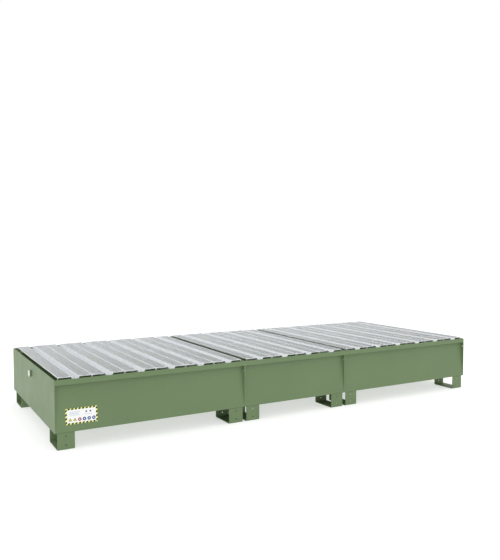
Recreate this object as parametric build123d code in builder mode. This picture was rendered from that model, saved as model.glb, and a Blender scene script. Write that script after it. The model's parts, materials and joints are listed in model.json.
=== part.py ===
"""Spill containment pallet for two bulk liquid containers.

Three folded steel sumps stand side by side on U-shaped feet and are bolted together through
their end plates.  Sixteen galvanised deck panels stand loose on the sumps' ledges.

Millimetres.  X runs along the length, from the left end to the right end, Y runs from the
front to the rear, and Z points up.  The origin is on the floor, at the middle of the pallet.
"""
from build123d import *
import math
import os

# ---------------------------------------------------------------- driving dimensions
long_section = 1245.0      # length of the left and right sumps
short_section = 840.0      # length of the middle sump
depth = 1330.0             # front to rear
rim_height = 410.0         # floor to the top of the rim
ground_clearance = 100.0   # height of the feet, where fork tines enter

# Sump: one sheet, folded into floor, leaning walls, ledges and rims
sheet = 3.0
rim_face = 33.0            # height of the upright rim above the ledge's underside
wall_lean = 28.0           # how far the walls lean inwards from floor to ledge
floor_bend = 8.0           # outside radii of the folds
ledge_bend = 2.0
rim_bend = 5.0
end_plate = 4.0            # thickness of the plates welded across the sump's ends

# Feet: flat bar bent into a U, open along X
foot_width = 100.0
foot_length = 200.0
foot_bar = 5.0
foot_bend = 9.0
foot_setback = 6.0         # from the front or rear of the pallet
foot_end_inset = 15.0      # from the end of its sump
foot_hole = 9.0
foot_hole_heights = (27.0, 80.0)

# Deck: panels of one open channel between two strips of diamond mesh, edged by thin side bars
panel_pitch = 200.0
panel_gap = 2.0
deck_rise = 12.0           # top of the deck above the rim
end_clearance = 2.0        # between the channels' ends and the rim
channel_width = 46.0       # outside, across the lips
channel_floor = 16.0       # outside, across the floor
channel_lip = 2.5          # height of the upright lips above the leaning sides
channel_sheet = 3.0
channel_bend = 4.0         # outside radius of the folds
side_bar = 3.0
side_bar_depth = 6.0
side_bar_foot = 8.0        # length of the foot at each end of a side bar
side_bar_setback = 15.0    # side bars' ends to the outer face of the rim
mesh_depth = 5.0
mesh_below_lip = 1.0
mesh_setback = 24.0        # mesh's trim to the outer face of the rim
mesh_trim = 2.0            # frame round the mesh
mesh_strand = 6.0
diamonds_across = 1        # in each strip
diamonds_along = 40

# Coupling bolts between the sumps, M8
coupling_hole = 9.0
coupling_below_rim = 65.0
coupling_inset = 12.2      # hole to the pallet's front or rear
bolt_diameter = 8.0
bolt_tip = 3.0             # shank beyond the nut
bolt_chamfer = 0.8
hex_across_flats = 13.0
head_height = 5.3
nut_height = 6.8
nut_bore = 8.3
washer_diameter = 16.0
washer_bore = 8.4
washer_thickness = 1.6

# Connection socket and its plug, on the left end plate
socket_diameter = 47.0
socket_bore = 36.0
socket_reach = 11.0        # from the plate to the socket's mouth
socket_below_rim = 72.0
plug_face_diameter = 44.0
plug_face = 4.0
plug_stem_diameter = 35.4
plug_stem_wall = 3.0
plug_stem = 13.0
plug_edge_radius = 1.5

# Safety label on the front wall of the left sump
label_length = 187.0
label_height = 92.0
label_thickness = 1.0
label_corner = 5.0
label_from_end = 156.0
label_from_floor = 189.0

# ---------------------------------------------------------------- derived sizes
length = 2 * long_section + short_section
left_end = -length / 2
front = -depth / 2
ledge_underside = rim_height - rim_face
ledge_top = ledge_underside + sheet
deck_top = rim_height + deck_rise
member_length = depth - 2 * (sheet + end_clearance)
panel_width = panel_pitch - panel_gap
coupling_height = rim_height - coupling_below_rim
coupling_y = depth / 2 - coupling_inset
socket_height = rim_height - socket_below_rim

section_lengths = {"left": long_section, "middle": short_section, "right": long_section}
section_starts = {
    "left": left_end,
    "middle": left_end + long_section,
    "right": left_end + long_section + short_section,
}
joint_positions = (section_starts["middle"], section_starts["right"])

os.makedirs("parts", exist_ok=True)


def write(piece, name):
    """Label one finished piece and write it as its own file."""
    piece.part.label = name
    export_step(piece.part, f"parts/{name}.step")


# ---------------------------------------------------------------- sumps
def make_tub(start, section):
    """Folded sheet of one sump: rim, ledge, leaning wall, floor, and the same at the rear."""
    half_depth = depth / 2
    wall_top = half_depth - wall_lean
    with BuildPart() as tub:
        with BuildSketch(Plane.YZ.offset(start + end_plate)):
            with BuildLine():
                outside = FilletPolyline(
                    (-half_depth, rim_height),
                    (-half_depth, ledge_underside),
                    (-wall_top, ledge_underside),
                    (-half_depth, ground_clearance),
                    (half_depth, ground_clearance),
                    (wall_top, ledge_underside),
                    (half_depth, ledge_underside),
                    (half_depth, rim_height),
                    radius=(rim_bend, ledge_bend, floor_bend, floor_bend, ledge_bend, rim_bend),
                )
                offset(outside, amount=sheet, side=Side.LEFT)
            make_face()
        extrude(amount=section - 2 * end_plate)
    return tub


def make_end_plate(start, socket_opening=False):
    """Plate across one end of a sump, as deep and as high as its rims, starting at x = start."""
    with BuildPart() as plate:
        with BuildSketch(Plane.YZ.offset(start)) as outline:
            with Locations((0, (rim_height + ground_clearance) / 2)):
                Rectangle(depth, rim_height - ground_clearance)
            fillet(outline.vertices().group_by(Axis.Z)[0], radius=floor_bend)
            with Locations((-coupling_y, coupling_height), (coupling_y, coupling_height)):
                Circle(coupling_hole / 2, mode=Mode.SUBTRACT)
            if socket_opening:
                with Locations((0, socket_height)):
                    Circle(socket_bore / 2, mode=Mode.SUBTRACT)
        extrude(amount=end_plate)
    return plate


# ---------------------------------------------------------------- feet
def make_foot(centre_x, front_y):
    """Flat bar bent into a U, with two holes through both of its upright legs."""
    rear_y = front_y + foot_length
    with BuildPart() as foot:
        with BuildSketch(Plane.YZ.offset(centre_x - foot_width / 2)):
            with BuildLine():
                outside = FilletPolyline(
                    (front_y, ground_clearance),
                    (front_y, 0),
                    (rear_y, 0),
                    (rear_y, ground_clearance),
                    radius=foot_bend,
                )
                offset(outside, amount=foot_bar, side=Side.LEFT)
            make_face()
        extrude(amount=foot_width)
        with BuildSketch(Plane.XZ.offset(-rear_y)):
            with Locations(*((centre_x, height) for height in foot_hole_heights)):
                Circle(foot_hole / 2)
        extrude(amount=foot_length, mode=Mode.SUBTRACT)
    return foot


# ---------------------------------------------------------------- deck panels
def make_bearers():
    """What carries a panel: a folded channel, open at the top, and a footed bar at each side."""
    side_bar_x = (panel_width - side_bar) / 2
    side_bar_length = depth - 2 * side_bar_setback
    lip_foot = deck_top - channel_lip
    with BuildPart() as bearers:
        with BuildSketch(Plane.XZ.offset(-member_length / 2)):
            with BuildLine():
                outside = FilletPolyline(
                    (-channel_width / 2, deck_top),
                    (-channel_width / 2, lip_foot),
                    (-channel_floor / 2, ledge_top),
                    (channel_floor / 2, ledge_top),
                    (channel_width / 2, lip_foot),
                    (channel_width / 2, deck_top),
                    radius=channel_bend,
                )
                offset(outside, amount=channel_sheet, side=Side.LEFT)
            make_face()
        extrude(amount=member_length)
        with BuildSketch(Plane.XY.offset(deck_top)):
            with Locations((-side_bar_x, 0), (side_bar_x, 0)):
                Rectangle(side_bar, side_bar_length)
        extrude(amount=-side_bar_depth)
        with BuildSketch(Plane.XY.offset(ledge_top)):
            with GridLocations(2 * side_bar_x, side_bar_length - side_bar_foot, 2, 2):
                Rectangle(side_bar, side_bar_foot)
        extrude(amount=deck_top - ledge_top)
    return bearers


def diamond_openings(width, length):
    """Staggered diamonds that fill a rectangle, cut off where they meet its border."""
    half_x = width / diamonds_across / 2
    half_y = length / diamonds_along / 2
    side_distance = half_x * half_y / math.hypot(half_x, half_y)
    open_share = 1 - mesh_strand / (2 * side_distance)
    reach_x = half_x * open_share
    reach_y = half_y * open_share
    with BuildSketch() as openings:
        for extra in (0, 1):
            with GridLocations(2 * half_x, 2 * half_y, diamonds_across + extra, diamonds_along + extra):
                Polygon((reach_x, 0), (0, reach_y), (-reach_x, 0), (0, -reach_y))
        Rectangle(width, length, mode=Mode.INTERSECT)
    return openings.sketch


def make_mesh():
    """The two strips of diamond mesh of a panel, just below the channel's lips."""
    strip_width = (panel_width - channel_width) / 2 - side_bar
    strip_length = depth - 2 * mesh_setback
    strip_x = (channel_width + strip_width) / 2
    openings = diamond_openings(strip_width - 2 * mesh_trim, strip_length - 2 * mesh_trim)
    with BuildPart() as mesh:
        with BuildSketch(Plane.XY.offset(deck_top - mesh_below_lip)):
            with Locations((-strip_x, 0), (strip_x, 0)):
                Rectangle(strip_width, strip_length)
                add(openings, mode=Mode.SUBTRACT)
        extrude(amount=-mesh_depth)
    return mesh


def copies(master, *places):
    """Copies of a piece that was made at the origin, one at each of the places."""
    with BuildPart() as pieces:
        with Locations(*places):
            add(master.part)
    return pieces


# ---------------------------------------------------------------- coupling hardware
def make_bolt():
    """Hexagon bolt along +X, with the seat of its head at the origin."""
    shank = 2 * end_plate + 2 * washer_thickness + nut_height + bolt_tip
    with BuildPart() as bolt:
        with BuildSketch(Plane.YZ.offset(-head_height)):
            RegularPolygon(hex_across_flats / 2, 6, major_radius=False)
        extrude(amount=head_height)
        chamfer(bolt.faces().sort_by(Axis.X)[0].edges(), length=bolt_chamfer)
        with BuildSketch(Plane.YZ):
            Circle(bolt_diameter / 2)
        extrude(amount=shank)
        chamfer(bolt.faces().sort_by(Axis.X)[-1].edges(), length=bolt_chamfer)
    return bolt


def make_nut():
    """Hexagon nut, with the face that meets the washer at the origin."""
    with BuildPart() as nut:
        with BuildSketch(Plane.YZ):
            RegularPolygon(hex_across_flats / 2, 6, major_radius=False)
        extrude(amount=nut_height)
        chamfer(nut.faces().sort_by(Axis.X)[-1].edges(), length=bolt_chamfer)
        with BuildSketch(Plane.YZ):
            Circle(nut_bore / 2)
        extrude(amount=nut_height, mode=Mode.SUBTRACT)
    return nut


def make_washer():
    """Plain washer, with its lower-X face at the origin."""
    with BuildPart() as washer:
        with BuildSketch(Plane.YZ):
            Circle(washer_diameter / 2)
            Circle(washer_bore / 2, mode=Mode.SUBTRACT)
        extrude(amount=washer_thickness)
    return washer


def coupling_places(distance):
    """The front and rear coupling holes of both joints, at a distance along X from the joint."""
    return [
        (joint + distance, side * coupling_y, coupling_height)
        for joint in joint_positions
        for side in (-1, 1)
    ]


# ---------------------------------------------------------------- socket, plug and label
def make_socket():
    """Short welded tube on the left end plate, level with the hole through the plate."""
    with BuildPart() as socket:
        with BuildSketch(Plane.YZ.offset(left_end - socket_reach)):
            with Locations((0, socket_height)):
                Circle(socket_diameter / 2)
                Circle(socket_bore / 2, mode=Mode.SUBTRACT)
        extrude(amount=socket_reach)
    return socket


def make_plug():
    """Push-in plug: a round face with a grip bar across its recess, and a hollow stem."""
    mouth = left_end - socket_reach
    recess_diameter = plug_face_diameter - 4 * plug_edge_radius
    with BuildPart() as plug:
        with BuildSketch(Plane.YZ.offset(mouth - plug_face)):
            with Locations((0, socket_height)):
                Circle(plug_face_diameter / 2)
        extrude(amount=plug_face)
        fillet(plug.faces().sort_by(Axis.X)[0].edges(), radius=plug_edge_radius)
        with BuildSketch(Plane.YZ.offset(mouth - plug_face)):
            with Locations((0, socket_height)):
                Circle(recess_diameter / 2)
                Rectangle(recess_diameter, plug_stem_wall * 2, mode=Mode.SUBTRACT)
        extrude(amount=plug_face / 2, mode=Mode.SUBTRACT)
        with BuildSketch(Plane.YZ.offset(mouth)):
            with Locations((0, socket_height)):
                Circle(plug_stem_diameter / 2)
                Circle(plug_stem_diameter / 2 - plug_stem_wall, mode=Mode.SUBTRACT)
        extrude(amount=plug_stem)
    return plug


def make_label():
    """Thin plate with rounded corners, flat against the leaning front wall."""
    wall_height = ledge_underside - ground_clearance
    lean_here = wall_lean * (label_from_floor - ground_clearance) / wall_height
    wall_plane = Plane(
        origin=(left_end + label_from_end, front + lean_here, label_from_floor),
        x_dir=(1, 0, 0),
        z_dir=(0, -wall_height, wall_lean),
    )
    with BuildPart() as label:
        with BuildSketch(wall_plane):
            RectangleRounded(label_length, label_height, label_corner)
        extrude(amount=label_thickness)
    return label


# ---------------------------------------------------------------- the whole pallet
bearers_master = make_bearers()
mesh_master = make_mesh()
panel_number = 0
for side, section in section_lengths.items():
    start = section_starts[side]
    write(make_tub(start, section), f"{side}_sump")
    is_free_end = side == "left"
    write(make_end_plate(start, socket_opening=is_free_end), f"{side}_sump_left_plate")
    write(make_end_plate(start + section - end_plate), f"{side}_sump_right_plate")

    foot_centre = foot_end_inset + foot_width / 2
    foot_columns = {"left": start + foot_centre, "right": start + section - foot_centre}
    foot_rows = {"front": front + foot_setback, "rear": -front - foot_setback - foot_length}
    for row, foot_front in foot_rows.items():
        for column, foot_x in foot_columns.items():
            write(make_foot(foot_x, foot_front), f"{side}_sump_foot_{row}_{column}")

    panel_count = int(section // panel_pitch)
    first_panel = start + (section - panel_count * panel_pitch) / 2 + panel_pitch / 2
    for index in range(panel_count):
        panel_number += 1
        panel_x = first_panel + index * panel_pitch
        write(copies(bearers_master, (panel_x, 0, 0)), f"deck_bearers_{panel_number:02d}")
        write(copies(mesh_master, (panel_x, 0, 0)), f"deck_mesh_{panel_number:02d}")

left_seat = -end_plate - washer_thickness
right_seat = end_plate + washer_thickness
write(copies(make_bolt(), *coupling_places(left_seat)), "coupling_bolts")
write(
    copies(make_washer(), *coupling_places(left_seat), *coupling_places(end_plate)),
    "coupling_washers",
)
write(copies(make_nut(), *coupling_places(right_seat)), "coupling_nuts")
write(make_socket(), "connection_socket")
write(make_plug(), "socket_plug")
write(make_label(), "safety_label")
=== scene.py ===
"""Looks of a spill containment pallet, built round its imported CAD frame.

The CAD nodes stay as they are and get procedural materials.  The pieces added here are the
weld beads of the fabrication, tilted strands of expanded metal in place of the flat CAD mesh,
and a plain, generic label in place of the CAD label plate.
"""
import json
import math

import bmesh
import bpy
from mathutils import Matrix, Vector


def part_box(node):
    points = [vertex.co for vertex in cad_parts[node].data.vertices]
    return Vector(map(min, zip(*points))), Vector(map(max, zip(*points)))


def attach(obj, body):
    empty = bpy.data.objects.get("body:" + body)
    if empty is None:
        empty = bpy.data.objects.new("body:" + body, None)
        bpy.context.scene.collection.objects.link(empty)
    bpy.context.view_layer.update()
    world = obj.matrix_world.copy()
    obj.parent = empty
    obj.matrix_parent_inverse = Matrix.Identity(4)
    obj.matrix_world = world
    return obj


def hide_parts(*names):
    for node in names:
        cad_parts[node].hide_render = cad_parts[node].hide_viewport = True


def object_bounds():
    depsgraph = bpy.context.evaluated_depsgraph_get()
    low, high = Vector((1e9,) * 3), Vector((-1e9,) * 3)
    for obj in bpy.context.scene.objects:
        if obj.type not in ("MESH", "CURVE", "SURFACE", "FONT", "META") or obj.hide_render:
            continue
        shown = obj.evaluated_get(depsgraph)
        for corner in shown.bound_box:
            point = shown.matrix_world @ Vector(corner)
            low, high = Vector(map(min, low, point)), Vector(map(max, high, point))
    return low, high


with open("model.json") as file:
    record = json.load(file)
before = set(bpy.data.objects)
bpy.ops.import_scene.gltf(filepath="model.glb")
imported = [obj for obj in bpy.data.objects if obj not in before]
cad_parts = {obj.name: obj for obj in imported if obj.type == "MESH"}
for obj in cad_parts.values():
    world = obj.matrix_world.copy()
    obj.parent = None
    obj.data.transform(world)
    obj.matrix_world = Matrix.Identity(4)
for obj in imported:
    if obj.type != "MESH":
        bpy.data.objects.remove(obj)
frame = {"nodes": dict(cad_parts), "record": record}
cad_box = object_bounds()
nodes = frame["nodes"]
slots = {part["node"]: part["material_slot"] for part in frame["record"]["subparts"]}

MM = 0.001

# The section of the sumps and of the deck panels, as in the CAD
HALF_DEPTH = cad_box[1][1]
WALL_LEAN = 28.0 * MM              # inwards, from the foot of a wall to its top
WALL_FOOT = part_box("left_sump")[0][2]
WALL_TOP = 377.0 * MM
CHANNEL_WIDTH = 46.0 * MM


# ---------------------------------------------------------------- node graphs
class Finish:
    """A procedural material, with short calls for the nodes that the finishes below need."""

    def __init__(self, name):
        self.material = bpy.data.materials.new(name)
        self.material.use_nodes = True
        self.tree = self.material.node_tree
        self.shader = self.tree.nodes["Principled BSDF"]
        self.place = self.tree.nodes.new("ShaderNodeTexCoord").outputs["Object"]
        geometry = self.tree.nodes.new("ShaderNodeNewGeometry")
        self.normal = geometry.outputs["Normal"]

    def feed(self, socket, value):
        if isinstance(value, bpy.types.NodeSocket):
            self.tree.links.new(value, socket)
        else:
            socket.default_value = value

    def set(self, **values):
        """Shader sockets by name, with _ for a space."""
        for name, value in values.items():
            self.feed(self.shader.inputs[name.replace("_", " ")], value)

    def math(self, operation, first, second=0.0, clamp=False):
        node = self.tree.nodes.new("ShaderNodeMath")
        node.operation = operation
        node.use_clamp = clamp
        self.feed(node.inputs[0], first)
        self.feed(node.inputs[1], second)
        return node.outputs[0]

    def stretched(self, factors):
        """The object's own coordinates, scaled along each axis."""
        node = self.tree.nodes.new("ShaderNodeMapping")
        self.feed(node.inputs["Vector"], self.place)
        node.inputs["Scale"].default_value = factors
        return node.outputs[0]

    def noise(self, scale, detail=3.0, roughness=0.5, factors=None):
        node = self.tree.nodes.new("ShaderNodeTexNoise")
        self.feed(node.inputs["Vector"], self.stretched(factors) if factors else self.place)
        node.inputs["Scale"].default_value = scale
        node.inputs["Detail"].default_value = detail
        node.inputs["Roughness"].default_value = roughness
        return node.outputs[0]

    def cells(self, scale, factors=None):
        """A random grey for each cell of a Voronoi pattern."""
        node = self.tree.nodes.new("ShaderNodeTexVoronoi")
        self.feed(node.inputs["Vector"], self.stretched(factors) if factors else self.place)
        node.inputs["Scale"].default_value = scale
        grey = self.tree.nodes.new("ShaderNodeSeparateColor")
        self.feed(grey.inputs[0], node.outputs["Color"])
        return grey.outputs[0]

    def spread(self, value, low, high, to_low=0.0, to_high=1.0, smooth=False):
        """Map low..high to to_low..to_high, and hold it there outside."""
        node = self.tree.nodes.new("ShaderNodeMapRange")
        node.interpolation_type = "SMOOTHSTEP" if smooth else "LINEAR"
        self.feed(node.inputs[0], value)
        for index, number in enumerate((low, high, to_low, to_high), start=1):
            node.inputs[index].default_value = number
        return node.outputs[0]

    def mix(self, factor, first, second):
        """Two colours in proportion, through the colour sockets of the Mix node."""
        node = self.tree.nodes.new("ShaderNodeMix")
        node.data_type = "RGBA"
        self.feed(node.inputs[0], factor)
        self.feed(node.inputs[6], first)
        self.feed(node.inputs[7], second)
        return node.outputs[2]

    def axis(self, source, name):
        node = self.tree.nodes.new("ShaderNodeSeparateXYZ")
        self.feed(node.inputs[0], source)
        return node.outputs[name]

    def bump(self, height, distance, strength=1.0, under=None):
        node = self.tree.nodes.new("ShaderNodeBump")
        node.inputs["Strength"].default_value = strength
        node.inputs["Distance"].default_value = distance
        self.feed(node.inputs["Height"], height)
        if under is not None:
            self.feed(node.inputs["Normal"], under)
        return node.outputs[0]

    def edges(self, radius):
        """1 close to a sharp edge, 0 on a flat face."""
        bevel = self.tree.nodes.new("ShaderNodeBevel")
        bevel.samples = 4
        bevel.inputs["Radius"].default_value = radius
        dot = self.tree.nodes.new("ShaderNodeVectorMath")
        dot.operation = "DOT_PRODUCT"
        self.feed(dot.inputs[0], bevel.outputs[0])
        self.feed(dot.inputs[1], self.normal)
        return self.spread(dot.outputs["Value"], 0.72, 0.99, 1.0, 0.0)


def rgb(red, green, blue):
    return (red, green, blue, 1.0)


# ---------------------------------------------------------------- finishes
def make_paint():
    """Reseda-green powder coat: faint orange peel, thin film and small chips at the edges,
    dust on level faces, and scuffs low down where forks and shoes reach."""
    f = Finish("green_powder_coat")
    height = f.axis(f.place, "Z")
    level = f.axis(f.normal, "Z")

    cloud = f.noise(2.3, 3.0)
    mottle = f.noise(60.0, 4.0)
    tone = f.mix(f.spread(cloud, 0.3, 0.7), rgb(0.118, 0.184, 0.078), rgb(0.131, 0.200, 0.087))
    tone = f.mix(f.spread(mottle, 0.35, 0.75, 0.0, 0.35), tone, rgb(0.139, 0.210, 0.097))

    dust_cloud = f.spread(f.noise(14.0, 5.0, 0.6), 0.42, 0.72)
    dust = f.math("MULTIPLY", f.spread(level, 0.55, 0.95, 0.0, 0.45), dust_cloud)
    tone = f.mix(dust, tone, rgb(0.36, 0.36, 0.31))

    low_down = f.spread(height, 0.0, 0.16, 1.0, 0.0)
    streaks = f.spread(f.noise(26.0, 4.0, 0.65, (1.0, 1.0, 0.35)), 0.56, 0.78)
    grime = f.math("MULTIPLY", f.math("MULTIPLY", low_down, streaks), 0.42)
    tone = f.mix(grime, tone, rgb(0.075, 0.085, 0.055))

    scuff = f.spread(f.noise(9.0, 6.0, 0.7, (0.35, 1.0, 6.0)), 0.735, 0.80, 0.0, 0.5)
    tone = f.mix(scuff, tone, rgb(0.27, 0.33, 0.22))

    edge = f.edges(1.6 * MM)
    thin = f.math("MULTIPLY", edge, f.spread(f.noise(30.0, 3.0), 0.35, 0.65, 0.25, 0.6))
    tone = f.mix(thin, tone, rgb(0.215, 0.295, 0.155))
    chip = f.math("MULTIPLY", edge, f.spread(f.noise(95.0, 3.0, 0.6), 0.66, 0.70), clamp=True)
    tone = f.mix(chip, tone, rgb(0.30, 0.29, 0.27))

    gloss = f.spread(f.noise(7.0, 4.0), 0.3, 0.7, 0.46, 0.54)
    gloss = f.math("ADD", gloss, f.math("MULTIPLY", dust, 0.6))
    gloss = f.math("ADD", gloss, f.math("MULTIPLY", scuff, 0.3), clamp=True)
    peel = f.bump(f.noise(420.0, 2.0), 0.10 * MM, 0.35)
    waves = f.bump(f.noise(3.2, 1.0), 2.0 * MM, 0.12, under=peel)
    f.set(Base_Color=tone, Roughness=gloss, Normal=waves, IOR=1.5)
    return f.material


def make_galvanised(name, bright, grain):
    """Hot-dip galvanised steel: spangle, dull patches of white oxide, fine scratches along Y."""
    f = Finish(name)
    spangle = f.cells(grain)
    fine = f.cells(grain * 3.1, (1.0, 0.8, 1.3))

    def zinc(*colour):
        return rgb(*(part * bright for part in colour))

    tone = f.mix(spangle, zinc(0.64, 0.665, 0.69), zinc(0.80, 0.82, 0.835))
    tone = f.mix(f.spread(fine, 0.0, 1.0, 0.0, 0.35), tone, zinc(0.72, 0.74, 0.75))
    oxide = f.spread(f.noise(16.0, 5.0, 0.62), 0.50, 0.72, 0.0, 0.6)
    tone = f.mix(oxide, tone, zinc(0.78, 0.79, 0.79))
    scratch = f.spread(f.noise(40.0, 5.0, 0.7, (6.0, 0.25, 1.0)), 0.66, 0.74, 0.0, 0.45)
    tone = f.mix(scratch, tone, zinc(0.88, 0.89, 0.90))
    edge = f.edges(1.2 * MM)
    tone = f.mix(f.math("MULTIPLY", edge, 0.4), tone, zinc(0.92, 0.93, 0.94))

    rough = f.spread(spangle, 0.0, 1.0, 0.34, 0.52)
    rough = f.math("ADD", rough, f.math("MULTIPLY", oxide, 0.25), clamp=True)
    metal = f.spread(oxide, 0.0, 0.6, 0.78, 0.45)
    crystal = f.bump(spangle, 0.05 * MM, 0.5)
    runs = f.bump(f.noise(70.0, 3.0), 0.35 * MM, 0.35, under=crystal)
    f.set(Base_Color=tone, Roughness=rough, Metallic=metal, Normal=runs)
    return f.material


def make_fastener_paint():
    """Fasteners sprayed green with the sumps, with zinc plate showing on their sharp edges."""
    f = Finish("painted_fasteners")
    cloud = f.spread(f.noise(180.0, 4.0), 0.35, 0.7)
    tone = f.mix(cloud, rgb(0.165, 0.235, 0.125), rgb(0.215, 0.285, 0.165))
    bare = f.math("MULTIPLY", f.edges(0.5 * MM), f.spread(f.noise(420.0, 3.0), 0.45, 0.60), clamp=True)
    tone = f.mix(bare, tone, rgb(0.62, 0.61, 0.56))
    f.set(
        Base_Color=tone,
        Metallic=f.math("MULTIPLY", bare, 0.8),
        Roughness=f.spread(bare, 0.0, 1.0, 0.42, 0.30),
        Normal=f.bump(f.noise(900.0, 2.0), 0.04 * MM, 0.4),
    )
    return f.material


def make_plastic():
    """Moulded off-white polyethylene with a fine grain and a little dirt in small patches."""
    f = Finish("off_white_polyethylene")
    tone = f.mix(f.spread(f.noise(70.0, 4.0), 0.3, 0.7), rgb(0.74, 0.76, 0.69), rgb(0.80, 0.81, 0.75))
    dirt = f.spread(f.noise(210.0, 4.0, 0.65), 0.58, 0.75, 0.0, 0.35)
    tone = f.mix(dirt, tone, rgb(0.50, 0.51, 0.44))
    f.set(
        Base_Color=tone,
        Roughness=f.spread(dirt, 0.0, 0.35, 0.36, 0.55),
        Normal=f.bump(f.noise(1500.0, 2.0), 0.03 * MM, 0.5),
        IOR=1.5,
    )
    return f.material


def make_ink(name, colour):
    """One printed colour of the label: satin vinyl with fine grain and faint rub marks."""
    f = Finish(name)
    rub = f.spread(f.noise(90.0, 5.0, 0.65, (1.0, 1.0, 0.4)), 0.60, 0.76, 0.0, 0.3)
    worn, worn_to = 0.35, 0.8
    paler = tuple(part + (worn_to - part) * worn for part in colour)
    f.set(
        Base_Color=f.mix(rub, rgb(*colour), rgb(*paler)),
        Roughness=f.spread(rub, 0.0, 0.3, 0.32, 0.5),
        Normal=f.bump(f.noise(1800.0, 2.0), 0.02 * MM, 0.4),
        IOR=1.5,
    )
    return f.material


def make_weld_steel():
    """Painted weld: the same green, glossier than the flat paint, with a blotchy tone and gloss."""
    f = Finish("painted_weld")
    cloud = f.spread(f.noise(260.0, 4.0), 0.3, 0.7)
    tone = f.mix(cloud, rgb(0.112, 0.180, 0.072), rgb(0.150, 0.228, 0.098))
    f.set(
        Base_Color=tone,
        Roughness=f.spread(f.noise(300.0, 2.0), 0.3, 0.7, 0.26, 0.40),
        Normal=f.bump(f.noise(700.0, 3.0), 0.15 * MM, 0.4),
        IOR=1.5,
    )
    return f.material


finishes = {
    "green_paint": make_paint(),
    "galvanised_bearer": make_galvanised("galvanised_bearers", bright=1.05, grain=75.0),
    "galvanised_mesh": make_galvanised("galvanised_mesh", bright=1.08, grain=110.0),
    "painted_fasteners": make_fastener_paint(),
    "plug_plastic": make_plastic(),
}
weld_finish = make_weld_steel()

for name, node in nodes.items():
    if name == "safety_label":
        continue
    for material_slot in node.material_slots:
        material_slot.material = finishes[slots[name]]


# ---------------------------------------------------------------- pieces
def new_piece(name, mesh_data, body, slot, *materials):
    """A new object from a bmesh, riding on a CAD body."""
    mesh = bpy.data.meshes.new(name)
    mesh_data.to_mesh(mesh)
    mesh_data.free()
    for material in materials:
        mesh.materials.append(material)
    piece = bpy.data.objects.new(name, mesh)
    bpy.context.scene.collection.objects.link(piece)
    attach(piece, body)
    return piece


BEAD_SIDES = 8
BEAD_END = 0.25                    # of the radius, at both ends of a bead
RIPPLE = 5.0 * MM
RIPPLE_STEPS = 4
RIPPLE_DEPTH = 0.14                # of the radius
WANDERS = ((0.05, 310.0), (0.04, 127.0))   # part of the radius, and radians to the metre


def prism(mesh_data, rings):
    """A closed solid through rings with equally many points."""
    loops = [[mesh_data.verts.new(point) for point in ring] for ring in rings]
    for loop, following in zip(loops, loops[1:]):
        for side in range(len(loop)):
            other = (side + 1) % len(loop)
            mesh_data.faces.new((loop[side], loop[other], following[other], following[side]))
    mesh_data.faces.new(list(reversed(loops[0])))
    mesh_data.faces.new(loops[-1])


def add_bead(mesh_data, start, end, toward, size):
    """A fillet weld from start to end, lying in a corner that opens in the direction toward.

    The bead is a closed, rippled rod half sunk into the corner, thinner at both ends.
    """
    start, end = Vector(start), Vector(end)
    distance = (end - start).length
    along = (end - start).normalized()
    out = Vector(toward)
    out = (out - along * out.dot(along)).normalized()
    across = along.cross(out)
    steps = max(RIPPLE_STEPS, round(distance / RIPPLE) * RIPPLE_STEPS)
    angles = [2 * math.pi * side / BEAD_SIDES for side in range(BEAD_SIDES)]
    rings = []
    for step in range(steps + 1):
        travel = distance * step / steps
        ripples = travel / RIPPLE
        ripples_left = (distance - travel) / RIPPLE
        ripple = 1.0 - RIPPLE_DEPTH + RIPPLE_DEPTH * math.sin(math.pi * (ripples % 1.0))
        fade = min(1.0, ripples + BEAD_END, ripples_left + BEAD_END)
        wander = 1.0 + sum(part * math.sin(travel * rate) for part, rate in WANDERS)
        radius = size * ripple * fade * wander
        centre = start + along * travel
        rings.append([centre + (out * math.cos(a) + across * math.sin(a)) * radius for a in angles])
    prism(mesh_data, rings)


def finish_beads(name, mesh_data):
    """One smooth, painted piece from a mesh of beads."""
    bmesh.ops.recalc_face_normals(mesh_data, faces=mesh_data.faces[:])
    for face in mesh_data.faces:
        face.smooth = True
    return new_piece(name, mesh_data, "pallet", "green_paint", weld_finish)


FOOT_BAR = 5.0 * MM
FOOT_BEAD = 2.6 * MM
OUTER_FOOT_BEAD = 1.8 * MM         # in the shallow corner at the front and rear edges
FOOT_BEAD_INSET = 6.0 * MM         # from both edges of the bar
FOOT_BEAD_SINK = 0.4 * MM


def make_foot_welds():
    """Beads where the two upright legs of each foot meet the underside of the sump."""
    for name in nodes:
        if "_foot_" not in name:
            continue
        low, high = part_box(name)
        top = high[2] - FOOT_BEAD_SINK
        leg_faces = (
            (low[1], -1),
            (low[1] + FOOT_BAR, 1),
            (high[1] - FOOT_BAR, -1),
            (high[1], 1),
        )
        mesh_data = bmesh.new()
        for face_y, way in leg_faces:
            is_outer = abs(face_y) > HALF_DEPTH - 2 * FOOT_BAR
            start = (low[0] + FOOT_BEAD_INSET, face_y, top)
            end = (high[0] - FOOT_BEAD_INSET, face_y, top)
            add_bead(mesh_data, start, end, (0, way, -1), OUTER_FOOT_BEAD if is_outer else FOOT_BEAD)
        finish_beads(name.replace("_foot_", "_foot_weld_"), mesh_data)


WALL_BEAD = 2.6 * MM
WALL_BEAD_FOOT = 142.0 * MM
WALL_BEAD_TOP = 372.0 * MM
LEDGE_BEAD = 2.4 * MM
LEDGE_BEAD_GAPS = (3.0 * MM, 4.0 * MM)   # from the wall and from the rim's outer face


def wall_distance(height):
    """From the middle of the pallet to the leaning wall's outer face, at a height."""
    return HALF_DEPTH - WALL_LEAN * (height - WALL_FOOT) / (WALL_TOP - WALL_FOOT)


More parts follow.
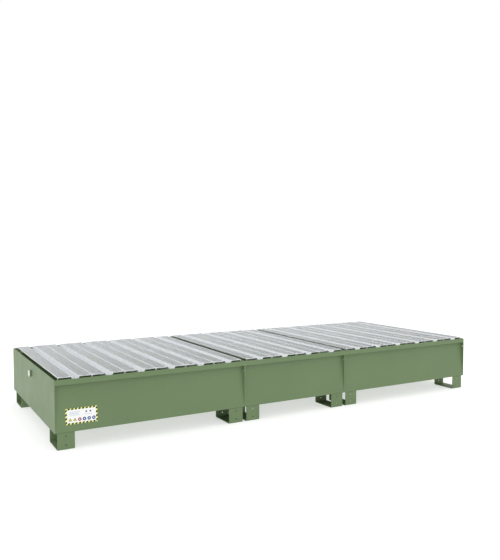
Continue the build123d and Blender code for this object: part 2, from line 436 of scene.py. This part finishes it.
def make_plate_welds():
    """Beads in the wedges between the end plates and the leaning front and rear walls."""
    inner_gap, outer_gap = LEDGE_BEAD_GAPS
    for side in ("left", "middle", "right"):
        mesh_data = bmesh.new()
        for plate, way in (("left", 1), ("right", -1)):
            low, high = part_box(f"{side}_sump_{plate}_plate")
            face_x = high[0] if way > 0 else low[0]
            for row in (-1, 1):
                foot = (face_x, row * wall_distance(WALL_BEAD_FOOT), WALL_BEAD_FOOT)
                top = (face_x, row * wall_distance(WALL_BEAD_TOP), WALL_BEAD_TOP)
                add_bead(mesh_data, foot, top, (way, row, 0), WALL_BEAD)
                inner = (face_x, row * (wall_distance(WALL_TOP) + inner_gap), WALL_TOP)
                outer = (face_x, row * (HALF_DEPTH - outer_gap), WALL_TOP)
                add_bead(mesh_data, inner, outer, (way, 0, -1), LEDGE_BEAD)
        finish_beads(f"{side}_sump_plate_welds", mesh_data)


make_foot_welds()
make_plate_welds()


# ---------------------------------------------------------------- expanded mesh
DIAMONDS_ALONG = 40                # as in the CAD, one diamond wide in each strip
STRAND = 8.0 * MM
STRAND_SHEET = 1.6 * MM
STRAND_TILT = math.radians(30.0)
BOND_LENGTH = 9.0 * MM
END_BAR = 3.0 * MM


def add_strand(mesh_data, start_x, length, middle_y, top, swing):
    """One tilted strand of expanded metal, bent once to the front or rear halfway along X.

    Its front edge stands higher than its rear edge.
    """
    across = Vector((0, math.cos(STRAND_TILT), -math.sin(STRAND_TILT))) * (STRAND / 2)
    through = Vector((0, math.sin(STRAND_TILT), math.cos(STRAND_TILT))) * (STRAND_SHEET / 2)
    corners = (-across - through, across - through, across + through, through - across)
    middle_z = top + across.z - through.z
    half, bond = length / 2, BOND_LENGTH / 2
    stations = ((0, -swing), (bond, -swing), (half - bond, swing), (half + bond, swing))
    stations += ((length - bond, -swing), (length, -swing))
    rings = []
    for x, y in stations:
        centre = Vector((start_x + x, middle_y + y, middle_z))
        rings.append([centre + corner for corner in corners])
    prism(mesh_data, rings)


def add_bonds(mesh_data, start_x, length, y, top, in_the_middle):
    """The short upright webs where two neighbouring strands meet, halfway or at both ends."""
    half, bond = length / 2, BOND_LENGTH / 2
    spans = ((half - bond, half + bond),) if in_the_middle else ((0, bond), (length - bond, length))
    foot = top - STRAND * math.sin(STRAND_TILT) - STRAND_SHEET * math.cos(STRAND_TILT)
    near, far = y - STRAND_SHEET / 2, y + STRAND_SHEET / 2
    outline = ((near, foot), (far, foot), (far, top), (near, top))
    for span in spans:
        prism(mesh_data, [[(start_x + x, y, z) for y, z in outline] for x in span])


def make_expanded_mesh(node):
    """Two strips of expanded metal between a panel's channel and side bars."""
    low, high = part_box(node)
    number = node.removeprefix("deck_mesh_")
    strip = (high[0] - low[0] - CHANNEL_WIDTH) / 2
    front, rear = low[1] + END_BAR, high[1] - END_BAR
    strands = 2 * DIAMONDS_ALONG
    spacing = (rear - front) / strands
    swing = (spacing - STRAND * math.cos(STRAND_TILT)) / 2
    mesh_data = bmesh.new()
    for start in (low[0], high[0] - strip):
        for index in range(strands):
            middle_y = front + (index + 0.5) * spacing
            add_strand(mesh_data, start, strip, middle_y, high[2], swing if index % 2 else -swing)
        for index in range(1, strands):
            add_bonds(mesh_data, start, strip, front + index * spacing, high[2], index % 2 == 0)
        corners = ((start, low[2]), (start + strip, low[2]), (start + strip, high[2]), (start, high[2]))
        for near, far in ((low[1], front), (rear, high[1])):
            prism(mesh_data, [[(x, y, z) for x, z in corners] for y in (near, far)])
    bmesh.ops.recalc_face_normals(mesh_data, faces=mesh_data.faces[:])
    slot = slots[node]
    piece = new_piece(f"expanded_mesh_{number}", mesh_data, f"deck_panel_{number}", slot, finishes[slot])
    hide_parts(node)


for name in sorted(nodes):
    if name.startswith("deck_mesh_"):
        make_expanded_mesh(name)


# ---------------------------------------------------------------- label
INKS = {
    "ink_yellow": (0.82, 0.86, 0.24),
    "vinyl_white": (0.84, 0.86, 0.85),
    "ink_black": (0.004, 0.005, 0.002),
    "ink_pale_grey": (0.58, 0.60, 0.68),
    "ink_dark_grey": (0.12, 0.12, 0.15),
    "ink_ochre": (0.42, 0.36, 0.06),
    "ink_red": (0.38, 0.05, 0.09),
    "ink_blue": (0.012, 0.065, 0.24),
}
LABEL_HEIGHT = 92.0 * MM
LABEL_THICKNESS = 1.0 * MM
LABEL_CORNER = 5.0 * MM
BORDER = 9.0 * MM
FIELD_CORNER = 1.5 * MM            # of the white field inside the border
BLOCKS_LONG = 8                    # black blocks along the top and the bottom of the border
BLOCKS_SHORT = 4                   # black blocks along each upright side
BLOCK = 12.5 * MM
BLOCK_SLANT = 4.0 * MM
BLOCK_MARGIN = 0.2 * MM
FILM = 0.84 * MM
PRINTS = (0.90 * MM, 0.95 * MM, 0.99 * MM)   # tops of three layers of print over the film
SINK = 0.04 * MM                   # of each layer into the one below
BARS = (                           # millimetres right and up, width and height of the grey bars
    (-40, 24, 62, 4),
    (-44, 15, 54, 6),
    (-38, 5, 58, 4),
    (40, 5, 50, 3),
)
BAR_CORNER = 1.2 * MM
CORNER_STEPS = 6
SPOTS = ((28.0 * MM, 20.0 * MM), (52.0 * MM, 20.0 * MM))
SPOT = 10.0 * MM
SPOT_CORNER = 2.0 * MM
MARKS = ("ink_ochre", "ink_ochre", "ink_red", "ink_blue", "ink_blue", "ink_blue")
MARK = 21.0 * MM
TRIANGLE = 26.25 * MM              # circle round a triangular mark
MARK_PITCH = 27.6 * MM
MARK_ROW = (2.0 * MM, -21.0 * MM)
RING_HOLE = 7.0 * MM


def rounded(width, height, radius, centre=(0.0, 0.0)):
    """A rounded rectangle, anticlockwise."""
    points = []
    for corner, (sign_u, sign_v) in enumerate(((1, 1), (-1, 1), (-1, -1), (1, -1))):
        middle_u = centre[0] + sign_u * (width / 2 - radius)
        middle_v = centre[1] + sign_v * (height / 2 - radius)
        for step in range(CORNER_STEPS + 1):
            angle = math.pi / 2 * (corner + step / CORNER_STEPS)
            points.append((middle_u + radius * math.cos(angle), middle_v + radius * math.sin(angle)))
    return points


def disc(centre, diameter, corners=24):
    """A regular outline with one corner at the top, anticlockwise."""
    angles = [math.pi / 2 + 2 * math.pi * step / corners for step in range(corners)]
    radius = diameter / 2
    return [(centre[0] + radius * math.cos(a), centre[1] + radius * math.sin(a)) for a in angles]


class LabelSheet:
    """Flat prints on the leaning front wall, placed right and up from the label's middle."""

    def __init__(self, middle):
        lean = math.atan2(WALL_LEAN, WALL_TOP - WALL_FOOT)
        self.right = Vector((1, 0, 0))
        self.up = Vector((0, math.sin(lean), math.cos(lean)))
        self.out = self.right.cross(self.up)
        self.base = middle - self.out * (LABEL_THICKNESS / 2)
        self.mesh_data = bmesh.new()

    def layer(self, outline, foot, top, ink):
        """A thin prism over an anticlockwise outline."""
        first = len(self.mesh_data.faces)
        rings = [
            [self.base + self.right * u + self.up * v + self.out * height for u, v in outline]
            for height in (foot, top)
        ]
        prism(self.mesh_data, rings)
        self.mesh_data.faces.ensure_lookup_table()
        for face in self.mesh_data.faces[first:]:
            face.material_index = list(INKS).index(ink)

    def printed(self, number, outline, ink):
        """A shape in one of the three layers of print, the lowest of which is 0."""
        below = (FILM, *PRINTS)[number]
        self.layer(outline, below - SINK, PRINTS[number], ink)

    def block_row(self, span, count, inner, outer, upright):
        """Slanting black blocks, evenly spaced along one side of the border."""
        pitch = span / count
        low, high = min(inner, outer), max(inner, outer)
        for index in range(count):
            middle = (index + 0.5) * pitch - span / 2
            left, right = middle - BLOCK / 2, middle + BLOCK / 2
            shift = BLOCK_SLANT / 2
            outline = [(left - shift, low), (right - shift, low)]
            outline += [(right + shift, high), (left + shift, high)]
            if upright:
                outline = [(v, u) for u, v in reversed(outline)]
            self.printed(0, outline, "ink_black")


def make_label():
    """Plain vinyl label: a yellow and black border round blank fields, with no lettering."""
    low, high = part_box("safety_label")
    sheet = LabelSheet((Vector(low) + Vector(high)) / 2)
    width = high[0] - low[0]
    inner_width, inner_height = width - 2 * BORDER, LABEL_HEIGHT - 2 * BORDER
    sheet.layer(rounded(width, LABEL_HEIGHT, LABEL_CORNER), 0.0, FILM, "ink_yellow")
    sheet.printed(0, rounded(inner_width, inner_height, FIELD_CORNER), "vinyl_white")
    for side in (-1, 1):
        for extent, span, count, upright in (
            (LABEL_HEIGHT, inner_width, BLOCKS_LONG, False),
            (width, LABEL_HEIGHT, BLOCKS_SHORT, True),
        ):
            inner = side * (extent / 2 - BORDER + BLOCK_MARGIN)
            outer = side * (extent / 2 - BLOCK_MARGIN)
            sheet.block_row(span, count, inner, outer, upright)

    for u, v, bar_width, bar_height in BARS:
        bar = rounded(bar_width * MM, bar_height * MM, BAR_CORNER, centre=(u * MM, v * MM))
        sheet.printed(1, bar, "ink_pale_grey")
    for centre in SPOTS:
        sheet.printed(1, rounded(SPOT, SPOT, SPOT_CORNER, centre=centre), "ink_dark_grey")
    for index, ink in enumerate(MARKS):
        centre = (MARK_ROW[0] + (index - (len(MARKS) - 1) / 2) * MARK_PITCH, MARK_ROW[1])
        if ink == "ink_ochre":
            sheet.printed(1, disc(centre, TRIANGLE, corners=3), ink)
        else:
            sheet.printed(1, disc(centre, MARK), ink)
            sheet.printed(2, disc(centre, RING_HOLE), "vinyl_white")

    materials = [make_ink(name, colour) for name, colour in INKS.items()]
    piece = new_piece("plain_label", sheet.mesh_data, "pallet", "label_face", *materials)
    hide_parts("safety_label")


make_label()


# ---------------------------------------------------------------- studio
FLOOR_REACH = 400.0
FLOOR_HEIGHT = -0.5 * MM
FLOOR_GLOW = 0.58
SKY_GLOW = 1.02
KEY_LIGHT = {"place": (-6.0, -2.5, 4.5), "aim": (-0.8, 0.0, 0.2), "size": 3.5, "energy": 25.0}
TOP_LIGHT = {"place": (0.5, 0.5, 6.0), "aim": (0.3, 0.0, 0.0), "size": 5.0, "energy": 110.0}
CAMERA_PLACE = (-2.4700, -4.2955, 1.1673)
CAMERA_DOWN = 0.052                # radians below level
CAMERA_RIGHT = 0.522               # radians to the right of +Y
LENS, SENSOR_HEIGHT = 40.58, 36.0  # millimetres


def make_floor():
    """A white floor that reaches the horizon."""
    mesh_data = bmesh.new()
    corners = ((-1, -1), (1, -1), (1, 1), (-1, 1))
    places = [(x * FLOOR_REACH, y * FLOOR_REACH, FLOOR_HEIGHT) for x, y in corners]
    mesh_data.faces.new([mesh_data.verts.new(place) for place in places])
    mesh = bpy.data.meshes.new("studio_floor")
    mesh_data.to_mesh(mesh)
    mesh_data.free()
    floor = bpy.data.objects.new("studio_floor", mesh)
    bpy.context.scene.collection.objects.link(floor)
    f = Finish("studio_floor_white")
    f.set(
        Base_Color=f.mix(f.noise(0.8, 2.0), rgb(0.52, 0.52, 0.52), rgb(0.54, 0.54, 0.54)),
        Emission_Color=rgb(1.0, 1.0, 1.0),
        Emission_Strength=FLOOR_GLOW,
        Roughness=0.9,
        Specular_IOR_Level=0.1,
    )
    mesh.materials.append(f.material)


def add_area_light(name, place, aim, size, energy):
    """A square light at a place, turned towards its aim."""
    data = bpy.data.lights.new(name, "AREA")
    data.shape = "SQUARE"
    data.size = size
    data.energy = energy
    light = bpy.data.objects.new(name, data)
    light.location = place
    light.rotation_euler = (Vector(aim) - Vector(place)).to_track_quat("-Z", "Y").to_euler()
    bpy.context.scene.collection.objects.link(light)


def make_studio():
    """White surroundings, two soft lights, and the camera at the photo's angle."""
    scene = bpy.context.scene
    world = bpy.data.worlds.new("studio_white")
    world.use_nodes = True
    background = world.node_tree.nodes["Background"]
    background.inputs["Color"].default_value = rgb(1.0, 1.0, 1.0)
    background.inputs["Strength"].default_value = SKY_GLOW
    scene.world = world
    scene.view_settings.view_transform = "Standard"

    make_floor()
    add_area_light("key_left", **KEY_LIGHT)
    add_area_light("top_soft", **TOP_LIGHT)

    camera_data = bpy.data.cameras.new("photo_angle")
    camera_data.sensor_fit = "VERTICAL"
    camera_data.sensor_height = SENSOR_HEIGHT
    camera_data.lens = LENS
    camera = bpy.data.objects.new("photo_angle", camera_data)
    camera.location = CAMERA_PLACE
    camera.rotation_euler = (math.pi / 2 - CAMERA_DOWN, 0.0, -CAMERA_RIGHT)
    scene.collection.objects.link(camera)
    scene.camera = camera


make_studio()
